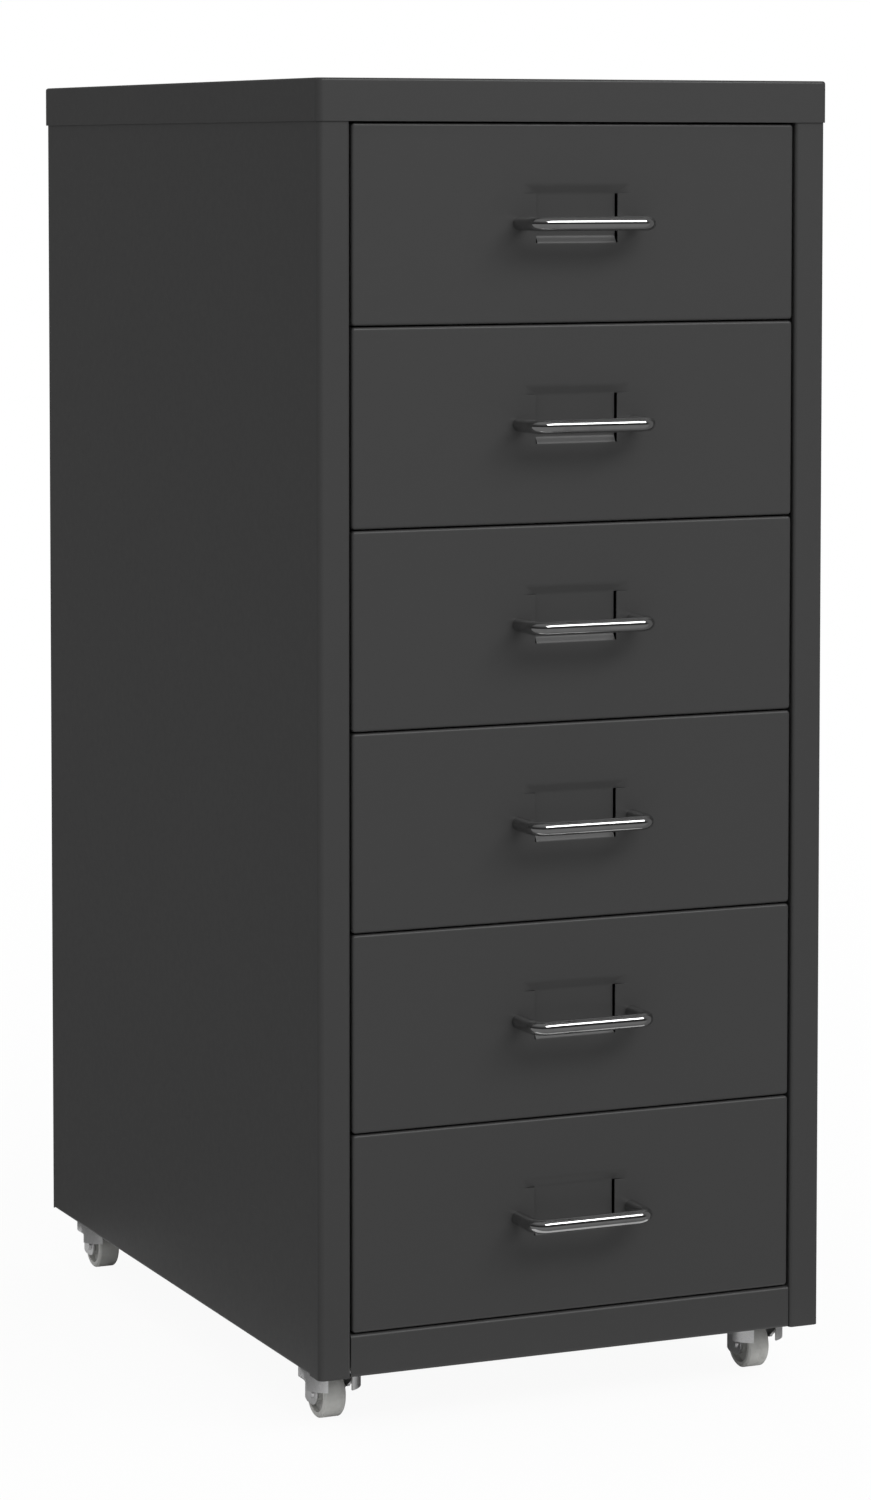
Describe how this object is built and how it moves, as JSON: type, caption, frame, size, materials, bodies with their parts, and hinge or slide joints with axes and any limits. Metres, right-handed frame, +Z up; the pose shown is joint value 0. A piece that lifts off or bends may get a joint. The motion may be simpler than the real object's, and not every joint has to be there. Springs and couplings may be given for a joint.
{
  "type": "drawer cabinet",
  "caption": "Tall narrow sheet-steel cabinet of inset drawers with label pockets and wire handles, on swivel castors.",
  "frame": {"origin": "middle of the whole footprint, handles included, on the floor", "axes": "+X to the cabinet's right as seen from its front, +Y to its back, +Z up; the drawers open towards -Y"},
  "size_m": [0.285, 0.4436, 0.682],
  "materials": {
    "body_paint": "dark grey powder coat, satin",
    "front_paint": "dark grey powder coat, satin",
    "handle_chrome": "bright chrome plate",
    "runner_steel": "zinc-plated sheet",
    "screw_steel": "zinc-plated",
    "castor_zinc": "zinc-plated pressing",
    "wheel_plastic": "moulded grey plastic"
  },
  "bodies": {
    "cabinet": {"top_cap": "body_paint", "left_side_panel": "body_paint", "right_side_panel": "body_paint", "back_panel": "body_paint", "base_panel": "body_paint", "bottom_rail": "body_paint", "panel_screws": "screw_steel", "castor_screws": "screw_steel", "left_runner_1": "runner_steel", "left_runner_2": "runner_steel", "left_runner_3": "runner_steel", "left_runner_4": "runner_steel", "left_runner_5": "runner_steel", "left_runner_6": "runner_steel", "right_runner_1": "runner_steel", "right_runner_2": "runner_steel", "right_runner_3": "runner_steel", "right_runner_4": "runner_steel", "right_runner_5": "runner_steel", "right_runner_6": "runner_steel", "front_left_castor_mount": "castor_zinc", "front_right_castor_mount": "castor_zinc", "rear_left_castor_mount": "castor_zinc", "rear_right_castor_mount": "castor_zinc"},
    "drawer_1": {"drawer_1_tray": "body_paint", "drawer_1_front": "front_paint", "drawer_1_handle": "handle_chrome", "drawer_1_handle_screws": "screw_steel"},
    "drawer_2": {"drawer_2_tray": "body_paint", "drawer_2_front": "front_paint", "drawer_2_handle": "handle_chrome", "drawer_2_handle_screws": "screw_steel"},
    "drawer_3": {"drawer_3_tray": "body_paint", "drawer_3_front": "front_paint", "drawer_3_handle": "handle_chrome", "drawer_3_handle_screws": "screw_steel"},
    "drawer_4": {"drawer_4_tray": "body_paint", "drawer_4_front": "front_paint", "drawer_4_handle": "handle_chrome", "drawer_4_handle_screws": "screw_steel"},
    "drawer_5": {"drawer_5_tray": "body_paint", "drawer_5_front": "front_paint", "drawer_5_handle": "handle_chrome", "drawer_5_handle_screws": "screw_steel"},
    "drawer_6": {"drawer_6_tray": "body_paint", "drawer_6_front": "front_paint", "drawer_6_handle": "handle_chrome", "drawer_6_handle_screws": "screw_steel"},
    "front_left_castor": {"front_left_castor_fork": "castor_zinc", "front_left_castor_axle": "castor_zinc"},
    "front_left_wheel": {"front_left_castor_wheel": "wheel_plastic"},
    "front_right_castor": {"front_right_castor_fork": "castor_zinc", "front_right_castor_axle": "castor_zinc"},
    "front_right_wheel": {"front_right_castor_wheel": "wheel_plastic"},
    "rear_left_castor": {"rear_left_castor_fork": "castor_zinc", "rear_left_castor_axle": "castor_zinc"},
    "rear_left_wheel": {"rear_left_castor_wheel": "wheel_plastic"},
    "rear_right_castor": {"rear_right_castor_fork": "castor_zinc", "rear_right_castor_axle": "castor_zinc"},
    "rear_right_wheel": {"rear_right_castor_wheel": "wheel_plastic"}
  },
  "joints": [
    {"name": "drawer_1_slide", "type": "slide", "parent": "cabinet", "child": "drawer_1", "axis": [0, -1, 0], "range_m": [0, 0.3]},
    {"name": "drawer_2_slide", "type": "slide", "parent": "cabinet", "child": "drawer_2", "axis": [0, -1, 0], "range_m": [0, 0.3]},
    {"name": "drawer_3_slide", "type": "slide", "parent": "cabinet", "child": "drawer_3", "axis": [0, -1, 0], "range_m": [0, 0.3]},
    {"name": "drawer_4_slide", "type": "slide", "parent": "cabinet", "child": "drawer_4", "axis": [0, -1, 0], "range_m": [0, 0.3]},
    {"name": "drawer_5_slide", "type": "slide", "parent": "cabinet", "child": "drawer_5", "axis": [0, -1, 0], "range_m": [0, 0.3]},
    {"name": "drawer_6_slide", "type": "slide", "parent": "cabinet", "child": "drawer_6", "axis": [0, -1, 0], "range_m": [0, 0.3]},
    {"name": "front_left_swivel", "type": "hinge", "parent": "cabinet", "child": "front_left_castor", "pos_m": [-0.1215, -0.1604, 0.031], "axis": [0, 0, 1], "continuous": true},
    {"name": "front_left_spin", "type": "hinge", "parent": "front_left_castor", "child": "front_left_wheel", "pos_m": [-0.1215, -0.1559, 0.013], "axis": [1, 0, 0], "continuous": true},
    {"name": "front_right_swivel", "type": "hinge", "parent": "cabinet", "child": "front_right_castor", "pos_m": [0.1215, -0.1604, 0.031], "axis": [0, 0, 1], "continuous": true},
    {"name": "front_right_spin", "type": "hinge", "parent": "front_right_castor", "child": "front_right_wheel", "pos_m": [0.1215, -0.1559, 0.013], "axis": [1, 0, 0], "continuous": true},
    {"name": "rear_left_swivel", "type": "hinge", "parent": "cabinet", "child": "rear_left_castor", "pos_m": [-0.1215, 0.1826, 0.031], "axis": [0, 0, 1], "continuous": true},
    {"name": "rear_left_spin", "type": "hinge", "parent": "rear_left_castor", "child": "rear_left_wheel", "pos_m": [-0.1215, 0.1871, 0.013], "axis": [1, 0, 0], "continuous": true},
    {"name": "rear_right_swivel", "type": "hinge", "parent": "cabinet", "child": "rear_right_castor", "pos_m": [0.1215, 0.1826, 0.031], "axis": [0, 0, 1], "continuous": true},
    {"name": "rear_right_spin", "type": "hinge", "parent": "rear_right_castor", "child": "rear_right_wheel", "pos_m": [0.1215, 0.1871, 0.013], "axis": [1, 0, 0], "continuous": true}
  ]
}
